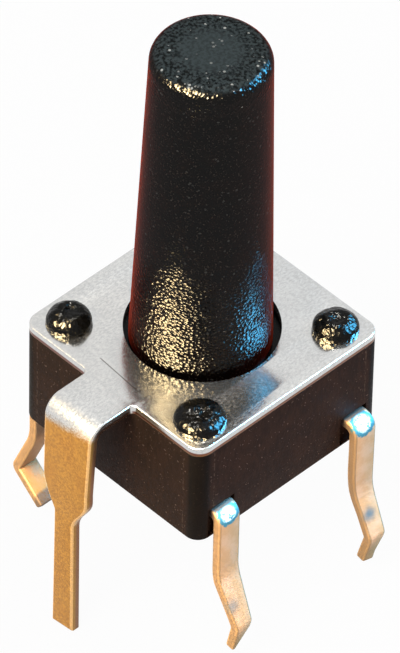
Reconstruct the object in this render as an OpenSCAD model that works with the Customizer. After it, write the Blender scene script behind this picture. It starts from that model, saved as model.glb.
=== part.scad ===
// Push button switch for circuit boards: 6.2 mm square, tall plunger, four signal leads, ground terminal.
// Millimetres, +Z up. The origin is the centre of the base's underside, which sits on the board.
// The signal leads leave the base on its +X and -X sides. The ground terminal hangs on the -Y side.

/* [Body] */
// Side of the square base and cover
body_w = 6.2; // [6:0.1:6.4]
// Height of the cover's top face above the board
body_h = 3.2; // [3.1:0.05:3.5]
// Radius of the upright corners
corner_r = 0.4; // [0.2:0.05:0.6]
// Spacing of the four staked posts, the same both ways
stake_pitch = 4.6; // [4.5:0.05:4.7]
// Diameter of the staked posts where they pass through the cover
post_d = 0.8; // [0.6:0.05:0.9]

/* [Cover] */
// Thickness of the cover's sheet
sheet_t = 0.25; // [0.2:0.01:0.3]
// Diameter of the hole round the plunger
stem_hole_d = 3.88; // [3.8:0.02:4]
// Width of the ground terminal where it leaves the cover
tab_w = 1.6; // [1.2:0.1:2]
// Outer face of the ground terminal, measured from the centre
tab_reach = 4.55; // [4.3:0.05:4.8]
// Width of the ground terminal's pin
pin_w = 0.7; // [0.6:0.05:0.8]
// Depth of the pin's tip below the board's top
pin_depth = 4.35; // [3.5:0.05:4.5]

/* [Plunger] */
// Height of the plunger's top above the board
total_h = 12.35; // [9.5:0.05:13]
// Diameter of the stem at the cover
stem_base_d = 3.5; // [3.4:0.02:3.56]
// Diameter of the stem at its top
stem_top_d = 3; // [2.6:0.02:3.4]
// Radius of the stem's top edge
stem_edge_r = 0.33; // [0.1:0.01:0.4]
// Distance the plunger travels when pressed
travel = 0.25; // [0.2:0.01:0.3]

/* [Leads] */
// Spacing of the two leads on one side
lead_pitch = 4.5; // [4.4:0.05:4.6]
// Spacing of the leads across the body, between their middles
lead_span = 6.5; // [6.5:0.05:6.6]
// Width of a lead
lead_w = 0.7; // [0.6:0.05:0.8]
// Thickness of a lead
lead_t = 0.26; // [0.24:0.01:0.3]
// Height of the leads' upper face where they leave the base
exit_z = 0.85; // [0.8:0.05:0.9]
// Depth of the leads' tips below the board's top
lead_depth = 3.7; // [3.5:0.05:4]

/* [Hidden] */
$fn = 64;
cut = 0.5;                                   // how far a cutting solid runs past the face that it cuts
side = body_w / 2;
cover_z = body_h - sheet_t;                  // the cover's underside, and the top of the base
lead_in_z = exit_z - lead_t;
lead_mid_z = exit_z - lead_t / 2;
lead_x = lead_span / 2;
lead_y = lead_pitch / 2;

// Base: cavity, lead pockets and staked heads
floor_z = exit_z;                            // cavity floor, level with the lead frames' upper faces
dome_bore_r = 2.2;
flange_bore_r = 2.36;
key_w = 1.0;
key_r = 2.56;
pocket_w = lead_w + 0.3;
pocket_depth = 0.12;
pocket_top = exit_z + 0.12;
head_base = 0.06;                            // upright rim below each head's crown
heads = [                                    // side along X, side along Y, radius, height
    [-1, -1, 0.57, 0.48],
    [1, -1, 0.65, 0.38],
    [1, 1, 0.58, 0.44],
    [-1, 1, 0.58, 0.42]
];

// Contacts: the dome stands on two rim pips and snaps onto the centre pip
rim_pip_h = 0.05;
centre_pip_h = 0.12;
pip_r = 0.3;
tongue_w = 1.0;
arm_w = 0.7;
arm_x = 1.9;
arm_end = -0.7;
dome_r = 2.05;
dome_t = 0.08;
dome_foot_z = floor_z + rim_pip_h;
dome_crown_z = floor_z + centre_pip_h + travel;
dome_gap = 0.01;

// Plunger: boss on the dome, flange under the cover, key lugs that stop it turning
boss_r = 0.8;
boss_z = dome_crown_z + dome_t + dome_gap;
flange_r = 2.28;                             // 0.08 smaller than its bore, which guides it
flange_gap = 0.02;
flange_top = cover_z - flange_gap;
flange_bottom = cover_z - 0.7;
lug_w = key_w - 0.2;
lug_r = key_r - 0.12;

// Leads: no two are bent quite alike. Each row holds the side along X; the reach beyond lead_x at the upper bend,
// at the start of the slope, at the kink and at the tip; the heights of the slope's start and of the kink, and the
// tip's height above lead_depth; and how much the -Y and the +Y edge are trimmed at the kink and at the tip
near_leads = [                               // at -Y
    [-1, [0.02, 0.02, 0.65, -0.25], [-1.4, -2.88, 0.03], [0.02, 0.1, 0.02, 0.1]],
    [1, [-0.01, -0.01, 0.53, 0.37], [-1.4, -2.95, -0.01], [0.16, 0.02, 0.16, 0.4]]
];
far_leads = [                                // at +Y
    [-1, [0.02, 0.02, 0.65, 0.1], [-1.4, -2.95, 0], [0.05, 0.05, 0.12, 0.12]],
    [1, [0.14, 0.12, 0.62, 0.4], [-1.58, -2.91, -0.06], [0.16, 0.02, 0.16, 0.18]]
];
lead_bend_r = 0.25;
slope_bend_r = 0.9;
kink_bend_r = 0.3;
trim_start_z = -1.6;

// Ground terminal: bend, shoulders and pin
tab_bend_r = 0.25;                           // inner radius
root_r = 0.15;
pin_x = -0.12;
waist = [-0.03, -0.11];                      // how far the tab's -X and +X edges have moved where the shoulders start
shoulder_z = [0.8, -0.32];                   // start and end of the -X shoulder
far_shoulder_z = [0.54, -0.6];               // start and end of the +X shoulder
pin_chamfer = 0.06;
pin_slant = 0.09;                            // its +X corner is this much higher

function unit(v) = v / norm(v);
function turned(v, a) = [v.x * cos(a) - v.y * sin(a), v.x * sin(a) + v.y * cos(a)];
function flipped(list) = [for (i = [len(list) - 1:-1:0]) list[i]];

// Arc of radius r that blends the corner at b between the lines to a and to c
function bend(a, b, c, r, n = 6) =
    let (
        u = unit(a - b),
        v = unit(c - b),
        half = acos(u * v) / 2,
        centre = b + unit(u + v) * r / sin(half),
        start = b + u * r / tan(half) - centre,
        way = u.x * v.y - u.y * v.x > 0 ? -1 : 1
    )
    [for (i = [0:n]) centre + turned(start, way * (180 - 2 * half) * i / n)];

// Points of a path whose inner corners are bent to the given radii
function bent_path(points, radii) = [
    points[0],
    for (i = [1:len(points) - 2]) each bend(points[i - 1], points[i], points[i + 1], radii[i - 1]),
    points[len(points) - 1]
];

// The path moved sideways by d
function beside(path, d) = [
    for (i = [0:len(path) - 1])
        let (
            before = unit(path[max(i, 1)] - path[max(i, 1) - 1]),
            last = len(path) - 1,
            after = unit(path[min(i, last - 1) + 1] - path[min(i, last - 1)]),
            middle = unit(before + after)
        )
        path[i] + turned(middle, 90) * d / (middle * after)
];

// Closed outline of a sheet of thickness t that follows a path
function ribbon(path, t) = concat(beside(path, t / 2), flipped(beside(path, -t / 2)));

module rounded_square(w, r) {
    square([w, w - 2 * r], center = true);
    square([w - 2 * r, w], center = true);
    for (x = [-1, 1], y = [-1, 1])
        translate([x, y] * (w / 2 - r)) circle(r);
}

module each_stake() {
    for (h = heads)
        translate([h[0], h[1], 0] * stake_pitch / 2) children();
}

// ---- Base ----

module staked_head(r, h) {
    rotate_extrude() polygon(concat(
        [[0, body_h]],
        [for (a = [0:10:90]) [r * cos(a), body_h + head_base + (h - head_base) * sin(a)]],
        [[0, body_h + h]]
    ) + [for (i = [0:11]) [0, 0]]);
}

module cavity() {
    translate([0, 0, floor_z]) cylinder(r = dome_bore_r, h = body_h);
    flange_seat = flange_bottom - travel - 0.1;
    translate([0, 0, flange_seat]) {
        cylinder(r = flange_bore_r, h = body_h);
        translate([-key_r, -key_w / 2, 0]) cube([2 * key_r, key_w, body_h]);
    }
}

module lead_pockets() {
    for (x = [-1, 1], y = [-1, 1])
        translate([x * (side - pocket_depth) + (x < 0 ? -cut : 0), y * lead_y - pocket_w / 2, -cut])
            cube([cut, pocket_w, pocket_top + cut]);
}

module base() {
    color("#33241f") {
        difference() {
            union() {
                linear_extrude(cover_z) rounded_square(body_w, corner_r);
                each_stake() cylinder(d = post_d, h = body_h + head_base);
            }
            cavity();
            lead_pockets();
            lead_frame_solid_centre();
            lead_frame_solid_rim();
        }
        for (h = heads)
            translate([h[0], h[1], 0] * stake_pitch / 2) staked_head(h[2], h[3]);
    }
}

// ---- Lead frames ----

// The strip's middle line at one end, seen along Y, from the upper bend out to the tip
function lead_line(lead) =
    let (
        heights = [lead_mid_z, lead[2][0], lead[2][1], lead[2][2] - lead_depth]
    )
    [for (i = [0:3]) [lead[0] * (lead_x + lead[1][i]), heights[i]]];

// The whole middle line: tip, kink, upper bend, across the base, and down again
function strip_line(pair) =
    bent_path(
        concat(flipped(lead_line(pair[0])), lead_line(pair[1])),
        [kink_bend_r, slope_bend_r, lead_bend_r, lead_bend_r, slope_bend_r, kink_bend_r]
    );

// Cutting prisms that narrow a lead towards its tip, drawn for the +X side
module edge_trims(lead) {
    kink_z = lead[2][1];
    tip_z = lead[2][2] - lead_depth;
    edge = lead_w / 2;
    for (i = [0, 1]) {
        y_side = 2 * i - 1;
        at_kink = y_side * (edge - lead[3][i]);
        at_tip = y_side * (edge - lead[3][i + 2]);
        translate([cut, 0, 0]) rotate([90, 0, 90]) linear_extrude(lead_x + cut)
            polygon([
                [y_side * edge, trim_start_z],
                [at_kink, kink_z],
                [at_tip, tip_z],
                [at_tip, tip_z - cut],
                [y_side * (edge + cut), tip_z - cut],
                [y_side * (edge + cut), trim_start_z]
            ]);
    }
}

module lead_strip(pair) {
    difference() {
        rotate([90, 0, 0]) linear_extrude(lead_w, center = true) polygon(ribbon(strip_line(pair), lead_t));
        mirror([1, 0, 0]) edge_trims(pair[0]);
        edge_trims(pair[1]);
    }
}

module pip(height) {
    translate([0, 0, lead_mid_z]) cylinder(r1 = pip_r, r2 = pip_r * 0.6, h = lead_t / 2 + height);
}

module lead_frame_solid_centre() {
    translate([0, -lead_y, 0]) lead_strip(near_leads);
    translate([-tongue_w / 2, -lead_y, lead_in_z]) cube([tongue_w, lead_y, lead_t]);
    translate([0, 0, lead_in_z]) cylinder(d = tongue_w, h = lead_t);
    pip(centre_pip_h);
}

module lead_frame_solid_rim() {
    translate([0, lead_y, 0]) lead_strip(far_leads);
    for (x = [-1, 1]) {
        translate([x * arm_x - arm_w / 2, arm_end, lead_in_z]) cube([arm_w, lead_y - arm_end, lead_t]);
        translate([x * arm_x, 0, 0]) pip(rim_pip_h);
    }
}

module lead_frame_centre() {
    color("#c98f55") lead_frame_solid_centre();
}

module lead_frame_rim() {
    color("#c98f55") lead_frame_solid_rim();
}

// ---- Contact dome ----

module contact_dome() {
    rise = dome_crown_z - dome_foot_z;
    ball_r = (pow(dome_r, 2) + pow(rise, 2)) / (2 * rise);
    centre_z = dome_crown_z - ball_r;
    steps = 8;
    rim_a = asin(dome_r / ball_r);
    under = [for (i = [0:steps]) let (a = rim_a * i / steps) [ball_r * sin(a), centre_z + ball_r * cos(a)]];
    color("#c9c4b8") rotate_extrude()
        polygon(concat(under, flipped([for (p = under) p + [0, dome_t]])));
}

// ---- Plunger ----

module plunger() {
    top_r = stem_top_d / 2;
    edge = [
        for (a = [0:15:90])
            [top_r - stem_edge_r + stem_edge_r * cos(a), total_h - stem_edge_r + stem_edge_r * sin(a)]
    ];
    color("#1d1a19") {
        rotate_extrude() polygon(concat(
            [
                [0, boss_z], [boss_r, boss_z], [boss_r, flange_bottom], [flange_r, flange_bottom],
                [flange_r, flange_top], [stem_base_d / 2, flange_top], [stem_base_d / 2, body_h]
            ],
            edge,
            [[0, total_h]]
        ));
        translate([-lug_r, -lug_w / 2, flange_bottom]) cube([2 * lug_r, lug_w, flange_top - flange_bottom]);
    }
}

// ---- Cover ----

// Bent sheet, seen along X, of the tab that turns down into the ground terminal
module tab_side_view() {
    middle_y = tab_reach - sheet_t / 2;
    middle_z = body_h - sheet_t / 2;
    path = bent_path(
        [[-side + corner_r, middle_z], [-middle_y, middle_z], [-middle_y, -pin_depth]],
        [tab_bend_r + sheet_t / 2]
    );
    rotate([90, 0, 90]) linear_extrude(2 * tab_w, center = true) polygon(ribbon(path, sheet_t));
}

// Outline of the ground terminal, seen along Y: wide tab, two unlike shoulders and the pin
module tab_front_view() {
    steps = 8;
    bend_end_z = cover_z - tab_bend_r;
    left = pin_x - pin_w / 2;
    right = pin_x + pin_w / 2;
    waist_left = -tab_w / 2 + waist[0];
    waist_right = tab_w / 2 + waist[1];
    near = [
        for (i = [0:steps])
            let (s = i / steps)
            [left + (waist_left - left) * cos(90 * s), shoulder_z[0] + (shoulder_z[1] - shoulder_z[0]) * s]
    ];
    far = [
        for (i = [0:steps])
            let (s = i / steps)
            [
                right + (waist_right - right) * (1 + cos(180 * s)) / 2,
                far_shoulder_z[0] + (far_shoulder_z[1] - far_shoulder_z[0]) * s
            ]
    ];
    tip = [
        [left, -pin_depth + pin_chamfer], [left + pin_chamfer, -pin_depth],
        [right - pin_chamfer, -pin_depth + pin_slant], [right, -pin_depth + pin_slant + pin_chamfer]
    ];
    rotate([90, 0, 0]) linear_extrude(4 * side, center = true)
        polygon(concat(
            [[-tab_w / 2, body_h + cut], [-tab_w / 2, bend_end_z]],
            near,
            tip,
            flipped(far),
            [[tab_w / 2, bend_end_z], [tab_w / 2, body_h + cut]]
        ));
}

module root_fillets() {
    for (x = [-1, 1])
        translate([x * tab_w / 2, -side, cover_z]) linear_extrude(sheet_t) difference() {
            translate([x > 0 ? 0 : -root_r, -root_r]) square([root_r, 2 * root_r]);
            translate([x, -1] * root_r) circle(root_r);
        }
}

module cover() {
    color("#c8cacb") {
        difference() {
            translate([0, 0, cover_z]) linear_extrude(sheet_t) rounded_square(body_w, corner_r);
            translate([0, 0, cover_z - cut]) {
                cylinder(d = stem_hole_d, h = sheet_t + 2 * cut);
                each_stake() cylinder(d = post_d, h = sheet_t + 2 * cut);
            }
        }
        intersection() {
            tab_side_view();
            tab_front_view();
        }
        root_fillets();
    }
}

base();
cover();
plunger();
contact_dome();
lead_frame_centre();
lead_frame_rim();
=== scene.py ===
import math
import bmesh
import bpy
from mathutils import Matrix, Vector, noise


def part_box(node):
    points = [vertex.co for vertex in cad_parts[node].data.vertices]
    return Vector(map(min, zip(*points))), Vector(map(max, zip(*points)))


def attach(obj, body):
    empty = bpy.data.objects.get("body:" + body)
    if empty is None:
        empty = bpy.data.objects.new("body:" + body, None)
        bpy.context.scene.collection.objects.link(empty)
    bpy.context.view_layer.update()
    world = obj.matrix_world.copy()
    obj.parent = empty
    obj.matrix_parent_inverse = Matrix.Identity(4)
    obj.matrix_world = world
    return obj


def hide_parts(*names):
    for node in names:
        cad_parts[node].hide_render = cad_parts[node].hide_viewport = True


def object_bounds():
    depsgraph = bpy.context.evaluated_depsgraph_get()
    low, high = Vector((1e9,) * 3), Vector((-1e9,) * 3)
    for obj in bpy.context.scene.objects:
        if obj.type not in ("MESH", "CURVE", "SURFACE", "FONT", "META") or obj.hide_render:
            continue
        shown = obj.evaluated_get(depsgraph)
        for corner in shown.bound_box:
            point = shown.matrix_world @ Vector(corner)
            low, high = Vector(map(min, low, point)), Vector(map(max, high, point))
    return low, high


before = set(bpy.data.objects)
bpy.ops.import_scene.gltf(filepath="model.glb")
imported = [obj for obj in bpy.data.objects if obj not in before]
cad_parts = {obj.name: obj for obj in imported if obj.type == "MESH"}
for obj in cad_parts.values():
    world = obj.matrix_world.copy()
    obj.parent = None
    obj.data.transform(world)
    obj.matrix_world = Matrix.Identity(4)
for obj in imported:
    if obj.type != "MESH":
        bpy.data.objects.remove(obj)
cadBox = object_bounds()
mm = 0.001
closeBy = 0.01  # mm: a point this near a plane counts as lying in it
down = Vector((0, 0, -1))
print("frame loaded")


# Small helpers for modelling by selection

def takeUp(piece):
    bpy.ops.object.select_all(action="DESELECT")
    piece.select_set(True)
    bpy.context.view_layer.objects.active = piece


def startEdit(piece):
    takeUp(piece)
    bpy.ops.object.mode_set(mode="EDIT")
    bpy.ops.mesh.select_mode(type="FACE")
    bpy.ops.mesh.select_all(action="DESELECT")


def endEdit():
    bpy.ops.object.mode_set(mode="OBJECT")


def settle(name):  # the new primitive gets its name, and its place goes into its mesh
    piece = bpy.context.active_object
    piece.name = name
    takeUp(piece)
    bpy.ops.object.transform_apply(location=True, rotation=True, scale=True)
    return piece


def addBlock(name, low, high):
    low, high = Vector(low) * mm, Vector(high) * mm
    bpy.ops.mesh.primitive_cube_add(size=1, location=(low + high) / 2, scale=high - low)
    return settle(name)


def addRound(name, radius, low, high, centre=(0, 0), sides=96, topRadius=None):
    top = radius if topRadius is None else topRadius
    bpy.ops.mesh.primitive_cone_add(vertices=sides, radius1=radius * mm, radius2=top * mm, depth=(high - low) * mm,
                                    location=Vector((*centre, (low + high) / 2)) * mm)
    return settle(name)


def combine(piece, tool, how):
    takeUp(piece)
    step = piece.modifiers.new("combine", "BOOLEAN")
    step.operation, step.object, step.solver = how, tool, "EXACT"
    bpy.ops.object.modifier_apply(modifier=step.name)
    bpy.data.objects.remove(tool)


def pickFaces(piece, test):
    bpy.ops.mesh.select_mode(type="FACE")
    bpy.ops.mesh.select_all(action="DESELECT")
    work = bmesh.from_edit_mesh(piece.data)
    for face in work.faces:
        face.select_set(bool(test(face.calc_center_median() / mm, face.normal)))
    bmesh.update_edit_mesh(piece.data)


def pickEdges(piece, test):
    bpy.ops.mesh.select_mode(type="EDGE")
    bpy.ops.mesh.select_all(action="DESELECT")
    work = bmesh.from_edit_mesh(piece.data)
    for edge in work.edges:
        edge.select_set(bool(test(edge.verts[0].co / mm, edge.verts[1].co / mm)))
    bmesh.update_edit_mesh(piece.data)


def roundEdges(piece, width, segments=3, angle=50):
    takeUp(piece)
    step = piece.modifiers.new("round", "BEVEL")
    step.width, step.segments, step.angle_limit = width * mm, segments, math.radians(angle)
    step.limit_method, step.miter_outer, step.use_clamp_overlap = "ANGLE", "MITER_ARC", True
    bpy.ops.object.modifier_apply(modifier=step.name)


def markFaces(piece, name, test):
    marks = piece.data.attributes.new(name, "FLOAT", "FACE")
    for mark, face in zip(marks.data, piece.data.polygons):
        mark.value = float(test(face.center / mm, face.normal))


def markPoints(piece, name, measure):
    marks = piece.data.attributes.new(name, "FLOAT", "POINT")
    for mark, point in zip(marks.data, piece.data.vertices):
        mark.value = measure(point.co / mm)


def finishPiece(piece, material, body, slot, *nodes):
    startEdit(piece)
    bpy.ops.mesh.select_all(action="SELECT")
    bpy.ops.mesh.remove_doubles(threshold=0.0005 * mm)
    bpy.ops.mesh.normals_make_consistent(inside=False)
    endEdit()
    takeUp(piece)
    bpy.ops.object.shade_smooth_by_angle(angle=math.radians(32))
    piece.data.materials.clear()
    piece.data.materials.append(material)
    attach(piece, body)
    if nodes:
        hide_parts(*nodes)
    print("made", piece.name)


# Draws the selected end face out along a line of (reach, height) whose corners are bent to the radii
def foldStrip(start, out, line, radii, turnSteps, stride=9.0):
    along = [(Vector(b) - Vector(a)).normalized() for a, b in zip(line, line[1:])]
    heading = [math.atan2(-d.y, d.x) for d in along]  # 0 is outward, 90 degrees is straight down
    turns = [heading[i + 1] - heading[i] for i in range(len(heading) - 1)]
    trims = [radii[i] * math.tan(abs(turns[i]) / 2) for i in range(len(turns))]
    axis = out.cross(down)
    place = Vector(start)
    for i, d in enumerate(along):
        run = (Vector(line[i + 1]) - Vector(line[i])).length
        run -= (trims[i - 1] if i > 0 else 0) + (trims[i] if i < len(trims) else 0)
        step = out * d.x - down * d.y
        pieces = math.ceil(run / stride)
        for _ in range(pieces):
            bpy.ops.mesh.extrude_region_move(TRANSFORM_OT_translate={"value": step * run / pieces * mm})
        place += step * run
        if i < len(turns):
            side = 1 if turns[i] > 0 else -1
            inward = (-out * math.sin(heading[i]) + down * math.cos(heading[i])) * side
            centre = place + inward * radii[i]
            bpy.ops.mesh.spin(steps=turnSteps, angle=abs(turns[i]), center=centre * mm, axis=-axis * side)
            place = centre + Matrix.Rotation(turns[i], 3, axis) @ (place - centre)


# Materials: every pattern reads Object coordinates, in metres

def startMaterial(name, gloss):
    material = bpy.data.materials.new(name)
    material.use_nodes = True
    tree = material.node_tree
    shader = tree.nodes["Principled BSDF"]
    for socket, value in gloss.items():
        shader.inputs[socket].default_value = value
    place = tree.nodes.new("ShaderNodeTexCoord").outputs["Object"]
    return material, tree, shader, place


def setSocket(tree, socket, value):  # a node's output is linked, and a plain value is written in
    if isinstance(value, bpy.types.NodeSocket):
        tree.links.new(value, socket)
    else:
        socket.default_value = value


def addNode(tree, kind, inputs, **settings):
    node = tree.nodes.new(kind)
    for key, value in settings.items():
        setattr(node, key, value)
    for socket, value in inputs.items():
        setSocket(tree, node.inputs[socket], value)
    return node


def grain(tree, place, size, detail=3.0, roughness=0.55, stretch=(1, 1, 1)):  # noise whose blobs are about size mm
    shape = addNode(tree, "ShaderNodeMapping", {"Vector": place, "Scale": stretch}).outputs["Vector"]
    inputs = {"Vector": shape, "Scale": 1 / (size * mm), "Detail": detail, "Roughness": roughness}
    return addNode(tree, "ShaderNodeTexNoise", inputs).outputs["Fac"]


def cells(tree, place, size):  # rounded cells about size mm across, 0 at their middle
    inputs = {"Vector": place, "Scale": 1 / (size * mm), "Randomness": 1.0}
    distance = addNode(tree, "ShaderNodeTexVoronoi", inputs, feature="F1").outputs["Distance"]
    return multiply(tree, distance, distance)


def spread(tree, value, ends, results=(0.0, 1.0)):  # from the first end to the second, the result eases over
    inputs = {"Value": value, "From Min": ends[0], "From Max": ends[1], "To Min": results[0], "To Max": results[1]}
    return addNode(tree, "ShaderNodeMapRange", inputs, interpolation_type="SMOOTHSTEP").outputs["Result"]


def spreadMm(tree, value, ends, results=(0.0, 1.0)):  # the same with its ends in mm
    return spread(tree, value, [end * mm for end in ends], results)


def reckon(tree, how, first, second=0.0):
    return addNode(tree, "ShaderNodeMath", {0: first, 1: second}, operation=how).outputs[0]


def multiply(tree, first, second):
    return reckon(tree, "MULTIPLY", first, second)


def add(tree, first, second):
    return reckon(tree, "ADD", first, second)


def subtract(tree, first, second):
    return reckon(tree, "SUBTRACT", first, second)


def blendColour(tree, share, first, second):
    node = tree.nodes.new("ShaderNodeMix")
    node.data_type = "RGBA"
    sockets = {s.identifier: s for s in node.inputs}
    setSocket(tree, sockets["Factor_Float"], share)
    for key, value in {"A_Color": first, "B_Color": second}.items():
        setSocket(tree, sockets[key], value if isinstance(value, bpy.types.NodeSocket) else (*value, 1))
    return next(s for s in node.outputs if s.identifier == "Result_Color")


def addRelief(tree, shader, height, depth, socket="Normal"):  # depth in mm
    bump = addNode(tree, "ShaderNodeBump", {"Height": height, "Distance": depth * mm, "Strength": 1.0})
    tree.links.new(bump.outputs["Normal"], shader.inputs[socket])


def markOf(tree, name):  # what markFaces or markPoints wrote
    return addNode(tree, "ShaderNodeAttribute", {}, attribute_name=name).outputs["Fac"]


def distanceTo(tree, place, spot):  # spot in mm
    inputs = {0: place, 1: [v * mm for v in spot]}
    return addNode(tree, "ShaderNodeVectorMath", inputs, operation="DISTANCE").outputs["Value"]


def axisOf(tree, place, name):
    return addNode(tree, "ShaderNodeSeparateXYZ", {"Vector": place}).outputs[name]


def inOneQuarter(tree, place):  # the four quarters of the part then share one pattern
    return addNode(tree, "ShaderNodeVectorMath", {0: place}, operation="ABSOLUTE").outputs["Vector"]


def makeStemPlastic():
    look = {
        "dark": (0.0012, 0.0013, 0.0012), "brown": (0.0035, 0.0018, 0.0012),
        "cloudSize": 0.5, "cloudEnds": (0.4, 0.7),
        "dust": (0.045, 0.035, 0.028), "dustSize": 0.05, "dustEnds": (0.6, 0.76), "dustShare": 0.8,
        # the flat top is painted greyer and bluer as a painted sheen, plain in the middle and mottled and speckled
        # further out; the bright specks are painted glints
        "face": (0.066, 0.084, 0.087), "faceHeights": (12.2, 12.3),
        "faceMiddle": (0, 0.1, 12.35), "plainToSpeckled": (0.4, 1.1),
        "mottleSize": 0.08, "mottleEnds": (0.36, 0.64), "mottleShares": (0.3, 0.85),
        "paintedGlint": (0.65, 0.65, 0.6), "speckSize": 0.16, "speckEnds": (0.06, 0.03),
        "thinSize": 0.3, "thinEnds": (0.51, 0.56),
        "sideAndFaceSpecks": (0.05, 1.0), "middleAndOuterSpecks": (0.35, 1.0),
        # the pits are deep at the foot and round the crown
        "footHeights": (7.2, 5.2), "crownHeights": (11.3, 11.8), "skinHeights": (3.1, 3.25),
        "reliefShares": (0.3, 1.0),
        "pitSize": 0.085, "pitEnds": (0.36, 0.62), "pitShares": (0.75, 1.1), "pitDepth": 0.025,
        "fineSize": 0.03, "fineShare": 0.1, "fineEnds": (0.35, 0.7), "softDepth": 0.011,
        "roughness": (0.28, 0.38), "sideAndFaceCoat": (0.092, 0.012),
        "gloss": {
            "Specular IOR Level": 0.0, "Coat Roughness": 0.16, "Coat IOR": 2.0,
            "Sheen Weight": 0.95, "Sheen Roughness": 0.24, "Sheen Tint": (0.95, 0.08, 0.025, 1),
        },
    }
    material, tree, shader, place = startMaterial("stemPlastic", look["gloss"])
    cloud = grain(tree, place, look["cloudSize"])
    fine = grain(tree, place, look["fineSize"], 2, 0.5)
    colour = blendColour(tree, spread(tree, cloud, look["cloudEnds"]), look["dark"], look["brown"])
    dust = spread(tree, grain(tree, place, look["dustSize"], 1), look["dustEnds"])
    colour = blendColour(tree, multiply(tree, dust, look["dustShare"]), colour, look["dust"])
    height = axisOf(tree, place, "Z")
    face = spreadMm(tree, height, look["faceHeights"])
    outer = spreadMm(tree, distanceTo(tree, place, look["faceMiddle"]), look["plainToSpeckled"])
    mottle = spread(tree, grain(tree, place, look["mottleSize"], 2), look["mottleEnds"])
    mottle = multiply(tree, mottle, spread(tree, outer, (0, 1), look["mottleShares"]))
    # painted sheen: the flat top is painted a lighter blue-grey
    colour = blendColour(tree, multiply(tree, face, subtract(tree, 1.0, mottle)), colour, look["face"])
    # painted glints: bright specks, mostly on the flat top and towards its rim
    paintedGlints = spread(tree, cells(tree, place, look["speckSize"]), look["speckEnds"])
    paintedGlints = multiply(tree, paintedGlints, spread(tree, grain(tree, place, look["thinSize"], 2), look["thinEnds"]))
    paintedGlints = multiply(tree, paintedGlints, spread(tree, face, (0, 1), look["sideAndFaceSpecks"]))
    paintedGlints = multiply(tree, paintedGlints, spread(tree, outer, (0, 1), look["middleAndOuterSpecks"]))
    colour = blendColour(tree, paintedGlints, colour, look["paintedGlint"])
    tree.links.new(colour, shader.inputs["Base Color"])
    tree.links.new(spread(tree, fine, look["fineEnds"], look["roughness"]), shader.inputs["Roughness"])
    tree.links.new(spread(tree, face, (0, 1), look["sideAndFaceCoat"]), shader.inputs["Coat Weight"])
    foot = spreadMm(tree, height, look["footHeights"])
    crown = subtract(tree, spreadMm(tree, height, look["crownHeights"]), face)
    deep = spread(tree, add(tree, foot, crown), (0, 1), look["reliefShares"])
    uneven = spread(tree, cloud, look["pitEnds"], look["pitShares"])
    pits = multiply(tree, cells(tree, place, look["pitSize"]), uneven)
    relief = add(tree, pits, multiply(tree, fine, look["fineShare"]))
    relief = multiply(tree, multiply(tree, relief, deep), spreadMm(tree, height, look["skinHeights"]))
    addRelief(tree, shader, relief, look["pitDepth"], "Coat Normal")
    addRelief(tree, shader, relief, look["softDepth"])
    return material


def makeHousingPlastic():
    look = {
        "dark": (0.024, 0.0092, 0.0048), "light": (0.041, 0.0155, 0.0078),
        "cloudSize": 0.6, "streakSize": 0.1, "streakStretch": (1, 1, 0.3), "mottleEnds": (0.38, 0.62),
        "fleck": (0.20, 0.12, 0.09), "fleckSize": 0.06, "fleckEnds": (0.69, 0.76),
        # painted shade darkens each upright corner, standing in for its dark reflection, with a faint broken painted
        # highlight line beside each
        "corner": (0.003, 0.0018, 0.0014), "cornerPlace": (3.1, 3.1, 0), "cornerShadeEnds": (0.46, 0.3),
        "cornerShadeShare": 0.85, "line": (0.13, 0.075, 0.05), "highlightLineAway": 0.53, "highlightLineWidth": 0.035, "highlightLineShare": 0.6,
        "breakSize": 0.1, "breakEnds": (0.42, 0.58),
        "poreSize": 0.06, "poreEnds": (0.3, 0.7), "poreDepth": 0.006, "roughness": (0.4, 0.6),
        "gloss": {"Specular IOR Level": 0.05},
    }
    material, tree, shader, place = startMaterial("housingPlastic", look["gloss"])
    cloud = grain(tree, place, look["cloudSize"], 5)
    streak = grain(tree, place, look["streakSize"], 3, 0.6, look["streakStretch"])  # flow lines run upwards
    mottle = multiply(tree, add(tree, cloud, streak), 0.5)  # their mean
    colour = blendColour(tree, spread(tree, mottle, look["mottleEnds"]), look["dark"], look["light"])
    flecks = spread(tree, grain(tree, place, look["fleckSize"], 1), look["fleckEnds"])
    colour = blendColour(tree, flecks, colour, look["fleck"])
    level = addNode(tree, "ShaderNodeVectorMath", {0: place, 1: (1, 1, 0)}, operation="MULTIPLY").outputs["Vector"]
    away = distanceTo(tree, inOneQuarter(tree, level), look["cornerPlace"])
    # painted shade: each upright corner is painted darker
    corner = spreadMm(tree, away, look["cornerShadeEnds"], (0, look["cornerShadeShare"]))
    colour = blendColour(tree, corner, colour, look["corner"])
    # painted highlight: a thin broken lighter line beside each corner
    offLine = reckon(tree, "ABSOLUTE", subtract(tree, away, look["highlightLineAway"] * mm))
    line = spreadMm(tree, offLine, (look["highlightLineWidth"], 0), (0, look["highlightLineShare"]))
    broken = spread(tree, grain(tree, place, look["breakSize"], 2), look["breakEnds"])
    colour = blendColour(tree, multiply(tree, line, broken), colour, look["line"])
    tree.links.new(colour, shader.inputs["Base Color"])
    pores = grain(tree, place, look["poreSize"])
    tree.links.new(spread(tree, pores, look["poreEnds"], look["roughness"]), shader.inputs["Roughness"])
    addRelief(tree, shader, pores, look["poreDepth"])
    return material


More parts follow.
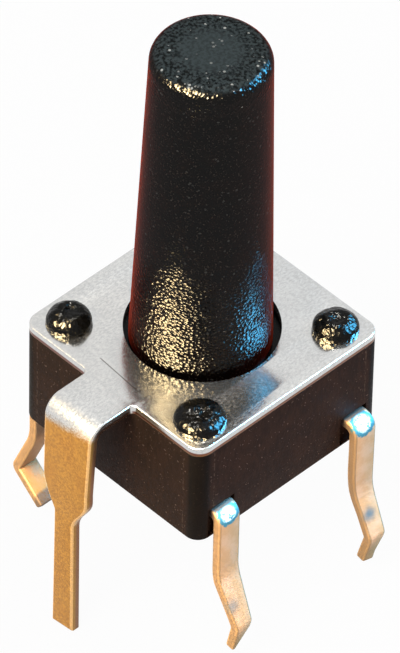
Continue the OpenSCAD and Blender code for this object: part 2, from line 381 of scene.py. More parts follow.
def makeHeadPlastic():
    look = {
        "dark": (0.003, 0.003, 0.003), "grey": (0.008, 0.007, 0.006), "lumpSize": 0.16, "lumpEnds": (0.3, 0.7),
        "pitSize": 0.09, "pitShare": 0.5, "roughness": (0.12, 0.24), "depth": 0.028,
        "gloss": {"Specular IOR Level": 0.09},
    }
    material, tree, shader, place = startMaterial("headPlastic", look["gloss"])
    lumps = grain(tree, place, look["lumpSize"])
    pits = multiply(tree, cells(tree, place, look["pitSize"]), look["pitShare"])
    tree.links.new(blendColour(tree, lumps, look["dark"], look["grey"]), shader.inputs["Base Color"])
    tree.links.new(spread(tree, lumps, look["lumpEnds"], look["roughness"]), shader.inputs["Roughness"])
    addRelief(tree, shader, add(tree, lumps, pits), look["depth"])
    return material


def makeCoverMetal():
    look = {
        "silver": (0.67, 0.67, 0.665), "dull": (0.58, 0.585, 0.58), "silverEnds": (0.36, 0.64),
        # below its bend the sheet is painted tan, a painted reflection of an orange surface, from a ragged and
        # slightly slanting line
        "tan": (0.35, 0.19, 0.042), "tanDark": (0.31, 0.15, 0.032), "tanEnds": (0.34, 0.66),
        "tanHeights": (2.98, 2.64), "tanRagged": 0.5, "slantAcross": (-0.8, 0.8), "slantRise": (-0.1, 0.1),
        "tanRough": 0.44,
        "fineSize": 0.05, "fineStretch": (1, 0.5, 1), "cloudSize": 0.7, "fineShare": 0.7,
        # painted highlight along the tab's rounded edges
        "ridgeHighlight": (0.86, 0.58, 0.30), "ridgeHighlightShare": 0.5,
        "cutEdge": (0.18, 0.065, 0.045), "cutHeights": (3.06, 3.02), "bodyEnds": (-3.2, -3.12),
        # painted shade on the tab's cut sides, darker towards the back
        "cutSideShade": (0.21, 0.085, 0.04), "cutSideShadeEnds": (0.35, 0.75), "cutSideShadeShare": 0.9,
        # a fine scribed line by the tab's root: how steep and where it runs, its half width and half length
        "scribe": (0.16, 0.15, 0.14), "scribeSlope": 0.079, "scribePlace": (-0.13, -2.66),
        "scribeWidth": (0.022, 0.008), "scribeLength": (0.8, 0.7), "scribeShare": 0.8,
        "satinEnds": (0.3, 0.7), "roughness": (0.12, 0.21), "depth": 0.0009,
        "gloss": {"Metallic": 0.92, "Specular IOR Level": 0.1},
    }
    material, tree, shader, place = startMaterial("coverMetal", look["gloss"])
    fine = grain(tree, place, look["fineSize"], 3, 0.6, look["fineStretch"])
    cloud = grain(tree, place, look["cloudSize"])
    mottle = add(tree, multiply(tree, fine, look["fineShare"]), multiply(tree, cloud, 1 - look["fineShare"]))
    silver = blendColour(tree, spread(tree, mottle, look["silverEnds"]), look["dull"], look["silver"])
    tan = blendColour(tree, spread(tree, mottle, look["tanEnds"]), look["tanDark"], look["tan"])
    # painted highlight: the tab's rounded edges are painted lighter
    tan = blendColour(tree, multiply(tree, markOf(tree, "ridge"), look["ridgeHighlightShare"]), tan, look["ridgeHighlight"])
    across, along, height = (axisOf(tree, place, name) for name in "XYZ")
    cut = multiply(tree, spreadMm(tree, height, look["cutHeights"]), spreadMm(tree, along, look["bodyEnds"]))
    silver = blendColour(tree, cut, silver, look["cutEdge"])
    offLine = add(tree, along, multiply(tree, across, look["scribeSlope"]))
    offLine = reckon(tree, "ABSOLUTE", subtract(tree, offLine, look["scribePlace"][1] * mm))
    offMiddle = reckon(tree, "ABSOLUTE", subtract(tree, across, look["scribePlace"][0] * mm))
    within = spreadMm(tree, offMiddle, look["scribeLength"])
    scribe = multiply(tree, spreadMm(tree, offLine, look["scribeWidth"]), within)
    silver = blendColour(tree, multiply(tree, scribe, look["scribeShare"]), silver, look["scribe"])
    ragged = multiply(tree, subtract(tree, mottle, 0.5), look["tanRagged"] * mm)
    slant = spreadMm(tree, across, look["slantAcross"], [rise * mm for rise in look["slantRise"]])
    share = spreadMm(tree, subtract(tree, add(tree, height, ragged), slant), look["tanHeights"])
    # painted reflection: below its bend the silver sheet is painted tan
    colour = blendColour(tree, share, silver, tan)
    # painted shade: the tab's cut sides are painted darker towards the back
    shadedCut = multiply(tree, spread(tree, markOf(tree, "sheetDepth"), look["cutSideShadeEnds"]), markOf(tree, "cutSide"))
    colour = blendColour(tree, multiply(tree, shadedCut, look["cutSideShadeShare"]), colour, look["cutSideShade"])
    tree.links.new(colour, shader.inputs["Base Color"])
    satin = spread(tree, fine, look["satinEnds"], look["roughness"])
    matt = multiply(tree, share, look["tanRough"] - look["roughness"][1])
    tree.links.new(add(tree, satin, matt), shader.inputs["Roughness"])
    addRelief(tree, shader, fine, look["depth"])
    return material


def makeLeadMetal():
    look = {
        # the tan and pale base colours are a painted reflection of an orange surface on the leads' metal
        "tan": (0.64, 0.332, 0.148), "pale": (0.69, 0.39, 0.22), "cloudSize": 0.4, "cloudEnds": (0.38, 0.62),
        # painted shade on the leads on the -X side
        "farSideShade": (0.42, 0.215, 0.085), "farSideShadeEnds": (1, -3), "farSideShadeShare": 0.85,
        "tip": (0.34, 0.19, 0.055), "tipHeights": (-2.8, -3.45), "tipShare": 0.8,
        "ridge": (0.28, 0.18, 0.09), "ridgeShare": 0.85, "cut": (0.20, 0.125, 0.065), "cutShare": 0.9,
        # every upper bend gets a painted highlight, a silver patch, with a painted blue reflection ring round it
        "bend": (3.37, 2.25, 0.72), "bendHeights": (0.1, 0.3), "mottleSize": 0.1, "ragged": 0.2,
        "silver": (0.62, 0.64, 0.66), "highlightMottle": (0.09, 0.20, 0.24), "highlightMottleEnds": (0.5, 0.38),
        "silverEnds": (0.28, 0.19), "ring": (0.03, 0.20, 0.26), "ringEnds": (0.37, 0.32),
        "shade": (0.10, 0.06, 0.04), "shadeEnds": (3.2, 3.12), "stain": (0.12, 0.15, 0.17),
        "fineSize": 0.06, "fineEnds": (0.3, 0.7), "roughness": (0.56, 0.74), "depth": 0.004,
        "plainAndBrightMetal": (0.4, 1.0), "stains": [  # place, size and strength
            ((3.745, 2.235, -2.225), 0.3, 0.95), ((3.67, -2.41, -2.22), 0.32, 0.65), ((-3.6, -2.2, -3.1), 0.3, 0.5),
        ],
    }
    material, tree, shader, place = startMaterial("leadMetal", {})
    cloud = grain(tree, place, look["cloudSize"], 4)
    fine = grain(tree, place, look["fineSize"])
    # painted reflection: mottled tan base colour
    colour = blendColour(tree, spread(tree, cloud, look["cloudEnds"]), look["tan"], look["pale"])
    height = axisOf(tree, place, "Z")
    # painted shade: the leads on the -X side are painted darker
    left = spreadMm(tree, axisOf(tree, place, "X"), look["farSideShadeEnds"], (0, look["farSideShadeShare"]))
    colour = blendColour(tree, left, colour, look["farSideShade"])
    tip = spreadMm(tree, height, look["tipHeights"], (0, look["tipShare"]))
    colour = blendColour(tree, tip, colour, look["tip"])
    for mark, paint in (("ridge", "ridge"), ("cutSide", "cut")):
        marked = multiply(tree, markOf(tree, mark), look[paint + "Share"])
        colour = blendColour(tree, marked, colour, look[paint])
    for spot, size, strength in look["stains"]:
        ragged = multiply(tree, subtract(tree, cloud, 0.5), size * mm)
        blot = spreadMm(tree, add(tree, distanceTo(tree, place, spot), ragged), (size, 0), (0, strength))
        colour = blendColour(tree, blot, colour, look["stain"])
    quarter = inOneQuarter(tree, place)
    mottle = grain(tree, place, look["mottleSize"], 2)
    ragged = multiply(tree, subtract(tree, mottle, 0.5), look["ragged"] * mm)
    away = add(tree, distanceTo(tree, quarter, look["bend"]), ragged)
    above = spreadMm(tree, height, look["bendHeights"])
    # painted blue reflection ring and painted silver highlight on each upper bend
    ring = multiply(tree, spreadMm(tree, away, look["ringEnds"]), above)
    bright = multiply(tree, spreadMm(tree, away, look["silverEnds"]), above)
    colour = blendColour(tree, ring, colour, look["ring"])
    # the painted highlight is mottled with blue-grey
    silver = blendColour(tree, spread(tree, mottle, look["highlightMottleEnds"]), look["silver"], look["highlightMottle"])
    colour = blendColour(tree, bright, colour, silver)
    nearBody = spreadMm(tree, axisOf(tree, quarter, "X"), look["shadeEnds"])
    colour = blendColour(tree, nearBody, colour, look["shade"])
    tree.links.new(colour, shader.inputs["Base Color"])
    tree.links.new(spread(tree, bright, (0, 1), look["plainAndBrightMetal"]), shader.inputs["Metallic"])
    tree.links.new(spread(tree, fine, look["fineEnds"], look["roughness"]), shader.inputs["Roughness"])
    addRelief(tree, shader, fine, look["depth"])
    return material


def makeDomeMetal():
    look = {
        "bright": (0.68, 0.67, 0.64), "dull": (0.55, 0.54, 0.52), "grainSize": 0.1, "depth": 0.002,
        "gloss": {"Metallic": 1.0, "Roughness": 0.25},
    }
    material, tree, shader, place = startMaterial("domeMetal", look["gloss"])
    fine = grain(tree, place, look["grainSize"])
    tree.links.new(blendColour(tree, fine, look["dull"], look["bright"]), shader.inputs["Base Color"])
    addRelief(tree, shader, fine, look["depth"])
    return material


stemPlastic = makeStemPlastic()
housingPlastic = makeHousingPlastic()
headPlastic = makeHeadPlastic()
coverMetal = makeCoverMetal()
leadMetal = makeLeadMetal()
domeMetal = makeDomeMetal()
print("materials made")

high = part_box("cover")[1]
side = high.x / mm  # half the square's side
coverTop = high.z / mm
sheetThickness = 0.25
baseTop = coverTop - sheetThickness
postPlace = 2.3  # of the four posts, in X and in Y


# Housing: square block with rounded corners, lead pockets, stepped bore and keyways

def makeHousing():
    shape = {
        "cornerRadius": 0.4, "cornerSteps": 10, "edgeRadius": 0.06, "edgeSteps": 4, "topRadius": 0.03, "topSteps": 3,
        "pocketWidth": 0.88, "pocketShift": 0.05, "pocketDepth": 0.12, "pocketTop": 0.97, "pocketFoot": 0.06,
        "leadPitch": 4.5, "floor": 0.85, "domeBore": 2.2, "flangeBore": 2.36, "flangeSides": 128, "flangeSeat": 1.9,
        "keyReach": 2.56, "keyWidth": 1.0,
    }
    housing = addBlock("housing", (-side, -side, 0), (side, side, baseTop))
    startEdit(housing)
    pickEdges(housing, lambda a, b: abs(a.z - b.z) > 1)
    bpy.ops.mesh.bevel(offset=shape["cornerRadius"] * mm, segments=shape["cornerSteps"])
    pickEdges(housing, lambda a, b: max(a.z, b.z) < closeBy)
    bpy.ops.mesh.bevel(offset=shape["edgeRadius"] * mm, segments=shape["edgeSteps"])
    pickEdges(housing, lambda a, b: min(a.z, b.z) > baseTop - closeBy)
    bpy.ops.mesh.bevel(offset=shape["topRadius"] * mm, segments=shape["topSteps"])
    endEdit()
    half = shape["pocketWidth"] / 2
    for x in (-1, 1):
        for y in (-1, 1):
            middle = y * shape["leadPitch"] / 2 - shape["pocketShift"]
            near, far = sorted((x * (side - shape["pocketDepth"]), x * (side + 1)))
            low = (near, middle - half, shape["pocketFoot"])
            combine(housing, addBlock("pocket", low, (far, middle + half, shape["pocketTop"])), "DIFFERENCE")
    above, seat = baseTop + 1, shape["flangeSeat"]
    combine(housing, addRound("bore", shape["domeBore"], shape["floor"], above), "DIFFERENCE")
    wide = addRound("bore", shape["flangeBore"], seat, above, sides=shape["flangeSides"])
    combine(housing, wide, "DIFFERENCE")
    reach, half = shape["keyReach"], shape["keyWidth"] / 2
    combine(housing, addBlock("key", (-reach, -half, seat), (reach, half, above)), "DIFFERENCE")
    finishPiece(housing, housingPlastic, "housing", "base", "base")


# Staked heads: each post rises through the cover and is pressed into an uneven dome

def makeStakedHead(name, centre, radius, height, seed):
    shape = {
        "postRadius": 0.4, "postStart": baseTop - 0.15, "rim": 0.06, "sides": 64, "rings": 48,
        "lump": 0.075, "lumpSize": 0.36, "fineSize": 0.4, "fineShare": 0.3, "sag": 0.09, "sagSize": 0.42, "fade": 1.2,
    }
    rimTop = Vector((*centre, coverTop + shape["rim"])) * mm
    bpy.ops.mesh.primitive_uv_sphere_add(segments=shape["sides"], ring_count=shape["rings"], radius=radius * mm,
                                         location=rimTop)
    head = settle(name)
    startEdit(head)
    bpy.ops.mesh.select_all(action="SELECT")
    bpy.ops.mesh.bisect(plane_co=(0, 0, rimTop.z), plane_no=(0, 0, 1), clear_inner=True)
    bpy.ops.mesh.select_all(action="SELECT")
    bpy.ops.transform.resize(value=(1, 1, (height - shape["rim"]) / radius), center_override=rimTop)
    pickEdges(head, lambda a, b: max(a.z, b.z) < coverTop + shape["rim"] + 0.002)
    bpy.ops.mesh.extrude_region_move(TRANSFORM_OT_translate={"value": (0, 0, -shape["rim"] * mm)})
    scale = shape["postRadius"] / radius
    bpy.ops.mesh.extrude_region_move(TRANSFORM_OT_translate={"value": (0, 0, 0)})
    bpy.ops.transform.resize(value=(scale, scale, 1), center_override=Vector((*centre, coverTop)) * mm)
    fall = shape["postStart"] - coverTop
    bpy.ops.mesh.extrude_region_move(TRANSFORM_OT_translate={"value": (0, 0, fall * mm)})
    bpy.ops.mesh.edge_face_add()
    endEdit()
    for point in head.data.vertices:  # the crown is dented and lumpy, and fades to true at the rim
        local = point.co / mm - Vector((*centre, coverTop))
        if local.z < 0.005:
            continue
        fade = min(1, local.z / height) ** shape["fade"]
        lump = noise.noise(Vector((local.x, local.y, seed * 3.7)) / shape["lumpSize"])
        fine = noise.noise(Vector((local.x, local.y, seed * 5.1)) / (shape["lumpSize"] * shape["fineSize"]))
        sag = shape["sag"] * math.exp(-((local.x ** 2 + local.y ** 2) / (radius * shape["sagSize"]) ** 2))
        point.co.z += (lump * shape["lump"] + fine * shape["lump"] * shape["fineShare"] - sag) * fade * mm
    finishPiece(head, headPlastic, "housing", "base")


# Cover: punched sheet whose ground terminal is folded down from the -Y edge

def makeCover():
    shape = {
        "cornerRadius": 0.4, "cornerSteps": 10, "rollRadius": 0.08, "edgeRadius": 0.03,
        "stemHole": 1.94, "stemSides": 160, "postHole": 0.41, "postSides": 40,
        "tabWidth": 1.6, "tabReach": 4.55, "tabRoll": 0.14, "rollSteps": 6, "bendRadius": 0.25, "bendSteps": 14,
        "rootRadius": 0.15, "rootSteps": 6, "waist": (-0.833, 0.685), "pinTop": (-0.445, 0.22),
        "pinEnd": (-0.505, 0.225), "pinDepth": 4.35, "pinSlant": 0.09,
        "leftShoulder": (0.8, -0.32), "rightShoulder": (0.54, -0.6), "slices": 14,
    }
    sheet = addBlock("coverSheet", (-side, -side, baseTop), (side, side, coverTop))
    half = shape["tabWidth"] / 2
    startEdit(sheet)
    for x in (-half, half):
        bpy.ops.mesh.select_all(action="SELECT")
        bpy.ops.mesh.bisect(plane_co=(x * mm, 0, 0), plane_no=(1, 0, 0))
    pickFaces(sheet, lambda at, way: way.y < -0.9 and abs(at.x) < half)
    middle = coverTop - sheetThickness / 2
    reach = shape["tabReach"] - sheetThickness / 2
    line = [(side, middle), (reach, middle), (reach, shape["leftShoulder"][0])]
    radii = [shape["bendRadius"] + sheetThickness / 2]
    foldStrip((0, -side, middle), Vector((0, -1, 0)), line, radii, shape["bendSteps"])
    leftStart, leftEnd = shape["leftShoulder"]
    rightStart, rightEnd = shape["rightShoulder"]
    levels = [leftStart + (rightEnd - leftStart) * i / shape["slices"] for i in range(shape["slices"] + 1)]
    for level in levels + [-shape["pinDepth"]]:
        if level < leftStart:
            bpy.ops.mesh.extrude_region_move(TRANSFORM_OT_translate={"value": (0, 0, 0)})
        leftPart = min(1, max(0, (leftStart - level) / (leftStart - leftEnd)))
        rightPart = min(1, max(0, (rightStart - level) / (rightStart - rightEnd)))
        pinPart = max(0, (rightEnd - level) / (rightEnd + shape["pinDepth"]))
        pinLeft, pinRight = (a + (b - a) * pinPart for a, b in zip(shape["pinTop"], shape["pinEnd"]))
        left = shape["waist"][0] + (pinLeft - shape["waist"][0]) * (1 - math.cos(leftPart * math.pi / 2))
        right = shape["waist"][1] + (pinRight - shape["waist"][1]) * (1 - math.cos(rightPart * math.pi)) / 2
        work = bmesh.from_edit_mesh(sheet.data)
        for point in (v for v in work.verts if v.select):
            isRight = point.co.x > (pinLeft + pinRight) / 2 * mm
            slant = shape["pinSlant"] if isRight and pinPart == 1 else 0
            point.co.x = (right if isRight else left) * mm
            point.co.z = (level + slant) * mm
        bmesh.update_edit_mesh(sheet.data)
    bpy.ops.mesh.select_all(action="DESELECT")
    corner = lambda p: abs(abs(p.x) - side) < closeBy and abs(abs(p.y) - side) < closeBy
    pickEdges(sheet, lambda a, b: corner(a) and corner(b) and abs(a.z - b.z) > 0.1)
    bpy.ops.mesh.bevel(offset=shape["cornerRadius"] * mm, segments=shape["cornerSteps"])
    root = lambda p: abs(abs(p.x) - half) < closeBy and abs(p.y + side) < closeBy
    pickEdges(sheet, lambda a, b: root(a) and root(b) and abs(a.z - b.z) > 0.1)
    bpy.ops.mesh.bevel(offset=shape["rootRadius"] * mm, segments=shape["rootSteps"])
    skin = lambda at, way: (way.z > 0.05 and at.z > baseTop + 0.05) or (way.y < -0.7 and at.y < -side - 0.5)
    pickFaces(sheet, lambda at, way: skin(at, way) and abs(way.x) < 0.1)
    bpy.ops.mesh.region_to_loop()
    work = bmesh.from_edit_mesh(sheet.data)
    weights = work.edges.layers.float.new("bevel_weight_edge")
    for edge in (e for e in work.edges if e.select):
        fall = coverTop - min(v.co.z for v in edge.verts) / mm
        edge[weights] = min(1, shape["rollRadius"] / shape["tabRoll"] + max(0, fall) / (2 * sheetThickness))
    bmesh.update_edit_mesh(sheet.data)
    endEdit()
    takeUp(sheet)
    step = sheet.modifiers.new("roll", "BEVEL")
    step.width, step.segments, step.limit_method = shape["tabRoll"] * mm, shape["rollSteps"], "WEIGHT"
    bpy.ops.object.modifier_apply(modifier=step.name)
    below, above = baseTop - 1, coverTop + 1
    combine(sheet, addRound("hole", shape["stemHole"], below, above, sides=shape["stemSides"]), "DIFFERENCE")
    for x in (-postPlace, postPlace):
        for y in (-postPlace, postPlace):
            hole = addRound("hole", shape["postHole"], below, above, (x, y), shape["postSides"])
            combine(sheet, hole, "DIFFERENCE")
    roundEdges(sheet, shape["edgeRadius"])
    onTab = lambda at, way: at.y < -side - 0.2 and 0.2 < abs(way.x) < 0.97
    onTop = lambda at, way: at.z > baseTop + 0.12 and 0.2 < way.z < 0.97 and at.y > -side - 0.2
    markFaces(sheet, "ridge", lambda at, way: onTab(at, way) or onTop(at, way))
    bend = shape["bendRadius"] + sheetThickness
    centre = (-shape["tabReach"] + bend, coverTop - bend)

    def depthInSheet(at):  # 0 at the outer skin, 1 at the inner one
        if at.y > centre[0]:
            return (coverTop - at.z) / sheetThickness
        if at.z < centre[1]:
            return (at.y + shape["tabReach"]) / sheetThickness
        return (bend - math.dist(centre, (at.y, at.z))) / sheetThickness

    markPoints(sheet, "sheetDepth", depthInSheet)
    markFaces(sheet, "cutSide", lambda at, way: at.y < -side - 0.25 and abs(way.x) + max(0, -way.z) > 0.75)
    finishPiece(sheet, coverMetal, "housing", "cover", "cover")


# Lead frames: a strip across the floor of the base, folded down as a lead on both sides

def trimAt(height, stops):  # stops go down: height, trim of the edge nearer -Y, trim of the other edge
    above = stops[0]
    for below in stops[1:]:
        if height > below[0]:
            share = max(0, (above[0] - height) / (above[0] - below[0]))
            return [a + (b - a) * share for a, b in zip(above[1:], below[1:])]
        above = below
    return above[1:]


def makeLeadFrame(name, y, leads, node):
    shape = {
        "width": 0.7, "thickness": 0.26, "top": 0.85, "start": 2.4, "reach": 3.25, "edgeRadius": 0.055,
        "stride": 0.25, "bendRadius": 0.25, "slopeRadius": 1.7, "bendSteps": 8,
    }
    half = shape["width"] / 2
    strip = addBlock(name, (-shape["start"], y - half, shape["top"] - shape["thickness"]),
                     (shape["start"], y + half, shape["top"]))
    middle = shape["top"] - shape["thickness"] / 2
    for lead in leads:
        x = lead["way"]
        startEdit(strip)
        pickFaces(strip, lambda at, way: way.x * x > 0.9 and abs(at.x - x * shape["start"]) < closeBy)
        line = [(shape["start"], middle), (shape["reach"] + lead["reaches"][0], middle)]
        line += [(shape["reach"] + reach, height) for reach, height in zip(lead["reaches"][1:], lead["heights"])]
        radii = (shape["bendRadius"], shape["slopeRadius"], lead["kinkRadius"])
        start = (x * shape["start"], y, middle)
        foldStrip(start, Vector((x, 0, 0)), line, radii, shape["bendSteps"], shape["stride"])
        work = bmesh.from_edit_mesh(strip.data)
        for point in (v for v in work.verts if v.select):  # the tip's end may be cut askew
            if point.co.y > y * mm:
                point.co.z -= lead["skew"] * mm
        for point in work.verts:
            at = point.co / mm
            if at.x * x > shape["start"] and at.z < lead["trims"][0][0]:
                lowTrim, highTrim = trimAt(at.z, lead["trims"])
                point.co.y += (lowTrim if at.y < y else -highTrim) * mm
        bmesh.update_edit_mesh(strip.data)
        endEdit()
    roundEdges(strip, shape["edgeRadius"])
    markFaces(strip, "ridge", lambda at, way: 0.2 < abs(way.y) < 0.97)
    markFaces(strip, "cutSide", lambda at, way: abs(way.y) >= 0.97)
    finishPiece(strip, leadMetal, "housing", "leads", node)


# Plunger: tapered stem with a fine relief, flange and lugs under the cover, boss on the dome

def makePlunger():
    shape = {
        "baseRadius": 1.765, "topRadius": 1.495, "edgeRadius": 0.35, "edgeSteps": 8,
        "topRings": 22, "middleRing": 0.3,  # the middle one's width, as a share of the others'
        "flangeRadius": 2.28, "flangeTop": 2.93, "flangeBottom": 2.25, "bossRadius": 0.8, "lugReach": 2.44,
        "lugWidth": 0.8, "sides": 240, "cuts": (14, 9),
        "relief": 0.0035, "reliefMean": 0.6, "reliefSwing": 0.4, "reliefSize": 0.08, "finer": 2.1, "finerShare": 0.5,
        "lean": 0.85, "leanWay": 78, "aside": (-0.028, -0.028), "play": 0.016,
    }
    bottom, top = (corner.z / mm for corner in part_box("plunger"))
    top -= shape["play"]  # the lean lifts one side of the top face by this much
    shoulder = top - shape["edgeRadius"]
    flat = shape["topRadius"] - shape["edgeRadius"]
    stem = addRound("plungerStem", shape["baseRadius"], coverTop, shoulder, sides=shape["sides"],
                    topRadius=shape["topRadius"])
    startEdit(stem)
    pickFaces(stem, lambda at, way: way.z > 0.9)
    angles = [math.radians(90 * i / shape["edgeSteps"]) for i in range(shape["edgeSteps"] + 1)]
    for last, this in zip(angles, angles[1:]):  # rounded top edge
        scale = (flat + shape["edgeRadius"] * math.cos(this)) / (flat + shape["edgeRadius"] * math.cos(last))
        rise = shape["edgeRadius"] * (math.sin(this) - math.sin(last))
        bpy.ops.mesh.extrude_region_move(TRANSFORM_OT_translate={"value": (0, 0, rise * mm)})
        bpy.ops.transform.resize(value=(scale, scale, 1), center_override=(0, 0, 0))
    for ring in range(shape["topRings"]):  # the top face needs rings for its relief
        bpy.ops.mesh.inset(thickness=flat / (shape["topRings"] + shape["middleRing"]) * mm)
    pickFaces(stem, lambda at, way: way.z < -0.9)
    bpy.ops.mesh.extrude_region_move(TRANSFORM_OT_translate={"value": (0, 0, (shape["flangeTop"] - coverTop) * mm)})
    scale = shape["flangeRadius"] / shape["baseRadius"]
    bpy.ops.mesh.extrude_region_move(TRANSFORM_OT_translate={"value": (0, 0, 0)})
    bpy.ops.transform.resize(value=(scale, scale, 1), center_override=(0, 0, 0))
    fall = shape["flangeBottom"] - shape["flangeTop"]
    bpy.ops.mesh.extrude_region_move(TRANSFORM_OT_translate={"value": (0, 0, fall * mm)})
    bpy.ops.mesh.inset(thickness=(shape["flangeRadius"] - shape["bossRadius"]) * mm)
    fall = bottom - shape["flangeBottom"]
    bpy.ops.mesh.extrude_region_move(TRANSFORM_OT_translate={"value": (0, 0, fall * mm)})
    endEdit()
    reach, half = shape["lugReach"], shape["lugWidth"] / 2
    lugs = addBlock("lugs", (-reach, -half, shape["flangeBottom"]), (reach, half, shape["flangeTop"]))
    combine(stem, lugs, "UNION")
    startEdit(stem)
    for cuts in shape["cuts"]:
        pickEdges(stem, lambda a, b: min(a.z, b.z) > coverTop - 0.001 and max(a.z, b.z) < shoulder + 0.001
                  and abs(a.z - b.z) > 0.01)
        bpy.ops.mesh.subdivide(number_cuts=cuts)
    bpy.ops.mesh.select_all(action="SELECT")
    bpy.ops.mesh.normals_make_consistent(inside=False)
    endEdit()
    ways = [point.normal.copy() for point in stem.data.vertices]
    for point, way in zip(stem.data.vertices, ways):  # spark-eroded relief, inwards so that the stem keeps its size
        at = point.co / mm
        if at.z > coverTop + 0.001:
            at /= shape["reliefSize"]
            bumps = noise.noise(at) + shape["finerShare"] * noise.noise(at * shape["finer"])
            point.co -= way * (shape["reliefMean"] - shape["reliefSwing"] * bumps) * shape["relief"] * mm
    facing = math.radians(shape["leanWay"] + 90)  # it stands a little askew in the play of its hole
    axis = Vector((math.cos(facing), math.sin(facing), 0))
    pivot = Matrix.Translation((0, 0, shape["flangeTop"] * mm))
    lean = pivot @ Matrix.Rotation(math.radians(shape["lean"]), 4, axis) @ pivot.inverted()
    stem.data.transform(Matrix.Translation(Vector((*shape["aside"], 0)) * mm) @ lean)
    finishPiece(stem, stemPlastic, "plunger", "plunger", "plunger")


def makePieces():
    makeHousing()
    # sides of the post, radius and height of its head
    heads = [(-1, -1, 0.57, 0.48), (1, -1, 0.65, 0.38), (1, 1, 0.58, 0.44), (-1, 1, 0.58, 0.42)]
    for i, (x, y, radius, height) in enumerate(heads, 1):
        makeStakedHead("stakedHead" + str(i), (x * postPlace, y * postPlace), radius, height, i)
    makeCover()
    leads = {  # reaches at the upper bend, the slope's start, the kink and the tip; heights of the last three
        "nearLeft": {
            "way": -1, "reaches": (0.02, 0.02, 0.638, -0.25), "heights": (-1.4, -2.884, -3.669), "kinkRadius": 0.15,
            "skew": 0.0, "trims": ((-1.5, 0, 0), (-2.2, 0, 0.1), (-4, 0, 0.1)),
        },
        "nearRight": {
            "way": 1, "reaches": (-0.01, -0.01, 0.53, 0.37), "heights": (-1.4, -2.95, -3.71), "kinkRadius": 0.35,
            "skew": 0.0, "trims": ((-1.6, 0, 0), (-2.85, 0.16, 0), (-3.0, 0.16, 0.06), (-3.71, 0.16, 0.43)),
        },
        "farLeft": {
            "way": -1, "reaches": (0.02, 0.02, 0.65, 0.1), "heights": (-1.4, -2.95, -3.7), "kinkRadius": 0.35,
            "skew": 0.0, "trims": ((-1.6, 0, 0), (-2.95, 0.05, 0.05), (-3.7, 0.12, 0.12)),
        },
        "farRight": {
            "way": 1, "reaches": (0.14, 0.115, 0.617, 0.395), "heights": (-1.585, -2.91, -3.757), "kinkRadius": 0.25,
            "skew": 0.12, "trims": ((-0.9, 0, 0), (-2.3, 0.13, 0), (-2.9, 0.16, 0), (-3.76, 0.15, 0.18)),
        },
    }
    makeLeadFrame("leadFrameCentre", -2.25, [leads["nearLeft"], leads["nearRight"]], "lead_frame_centre")
    makeLeadFrame("leadFrameRim", 2.25, [leads["farLeft"], leads["farRight"]], "lead_frame_rim")
    makePlunger()


makePieces()
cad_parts["contact_dome"].data.materials[0] = domeMetal


# Stage, lights and camera

def seenDirectly(tree):  # by the camera, in a reflection or through glass
    path = tree.nodes.new("ShaderNodeLightPath")
    mirrored = reckon(tree, "MAXIMUM", path.outputs["Is Glossy Ray"], path.outputs["Is Transmission Ray"])
    return reckon(tree, "MAXIMUM", path.outputs["Is Camera Ray"], mirrored)


def makeStage():
    look = {
        "size": 2, "gap": 0.02, "whiteness": 0.96,
        "gloss": {"Base Color": (0.94, 0.94, 0.94, 1), "Roughness": 0.9, "Specular IOR Level": 0.0},
    }
    bpy.ops.object.select_all(action="DESELECT")
    bpy.ops.mesh.primitive_plane_add(size=look["size"], location=(0, 0, cadBox[0].z - look["gap"] * mm))
    floor = bpy.context.active_object
    floor.name = "floor"
    material, tree, paper, place = startMaterial("palePaper", look["gloss"])
    white = addNode(tree, "ShaderNodeEmission", {"Color": (1, 1, 1, 1), "Strength": 1.0})
    share = multiply(tree, seenDirectly(tree), look["whiteness"])
    mixed = addNode(tree, "ShaderNodeMixShader", {0: share, 1: paper.outputs[0], 2: white.outputs[0]})
    tree.links.new(mixed.outputs[0], tree.nodes["Material Output"].inputs["Surface"])
    floor.data.materials.append(material)


def addLamp(name, azimuth, elevation, distance, size, power, colour, gleamOnly=False):  # sizes in metres
    data = bpy.data.lights.new(name, "AREA")
    data.size, data.energy, data.color = size, power, colour
    lamp = bpy.data.objects.new(name, data)
    bpy.context.scene.collection.objects.link(lamp)
    a, e = math.radians(azimuth), math.radians(elevation)
    way = Vector((math.cos(a) * math.cos(e), math.sin(a) * math.cos(e), math.sin(e)))
    lamp.location = Vector((0, 0, 4 * mm)) + way * distance  # it points at the middle of the part
    lamp.rotation_euler = way.to_track_quat("Z", "Y").to_euler()
    lamp.visible_diffuse = not gleamOnly
    if gleamOnly:  # seen in glossy surfaces, and throws no patch of light from them onto matt ones
        data.use_nodes = True
        tree = data.node_tree
        path = tree.nodes.new("ShaderNodeLightPath")
        strength = reckon(tree, "LESS_THAN", path.outputs["Diffuse Depth"], 0.5)
        tree.links.new(strength, tree.nodes["Emission"].inputs["Strength"])


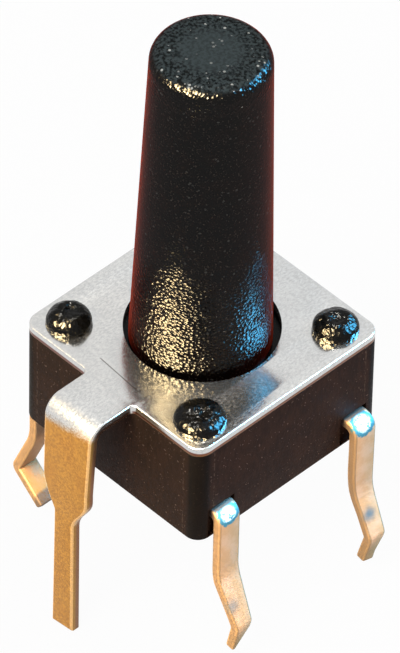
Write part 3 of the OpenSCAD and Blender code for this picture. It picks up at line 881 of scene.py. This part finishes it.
def makeLights():
    sky = {"Color": (0.97, 0.98, 1.0, 1), "Strength": 0.35}
    addLamp("keyLamp", -75, 52, 0.25, 0.1, 0.25, (1.0, 0.98, 0.95))
    addLamp("fillLamp", 60, 45, 0.25, 0.12, 0.12, (0.95, 0.98, 1.0))
    addLamp("warmGleam", -93, 43, 0.2, 0.1, 11.4, (1.0, 0.74, 0.38), True)
    addLamp("coolGleam", 59, 33, 0.2, 0.1, 4.0, (0.08, 0.55, 1.0), True)
    addLamp("topGleam", 120, 82, 0.25, 0.03, 1.1, (1.0, 0.96, 0.86), True)
    world = bpy.data.worlds.new("studio")
    bpy.context.scene.world = world
    world.use_nodes = True
    tree = world.node_tree
    light = tree.nodes["Background"]
    for socket, value in sky.items():
        light.inputs[socket].default_value = value
    white = addNode(tree, "ShaderNodeBackground", {"Color": (1, 1, 1, 1), "Strength": 1.0})
    mixed = addNode(tree, "ShaderNodeMixShader", {0: seenDirectly(tree), 1: light.outputs[0], 2: white.outputs[0]})
    tree.links.new(mixed.outputs[0], tree.nodes["World Output"].inputs["Surface"])


def makeCamera():
    view = {
        "azimuth": 45.05, "elevation": 45.2, "roll": 1.3, "distance": 220, "lens": 497.3, "sensor": 36,
        "target": (0, 0, 3), "shift": (-0.00335, 0.00692),
    }
    a, e, r = (math.radians(view[key]) for key in ("azimuth", "elevation", "roll"))
    back = Vector((math.sin(a) * math.cos(e), -math.cos(a) * math.cos(e), math.sin(e)))
    right = Vector((math.cos(a), math.sin(a), 0))
    up = back.cross(right)
    across = right * math.cos(r) + up * math.sin(r)
    upward = up * math.cos(r) - right * math.sin(r)
    data = bpy.data.cameras.new("camera")
    data.lens, data.sensor_width = view["lens"], view["sensor"]
    data.shift_x, data.shift_y = view["shift"]
    data.clip_start, data.clip_end = 0.01, 10
    camera = bpy.data.objects.new("camera", data)
    bpy.context.scene.collection.objects.link(camera)
    turn = Matrix((across, upward, back)).transposed().to_4x4()
    camera.matrix_world = Matrix.Translation((Vector(view["target"]) + back * view["distance"]) * mm) @ turn
    bpy.context.scene.camera = camera


makeStage()
makeLights()
makeCamera()
bpy.context.scene.view_settings.view_transform = "Standard"
print("stage, lights and camera placed")
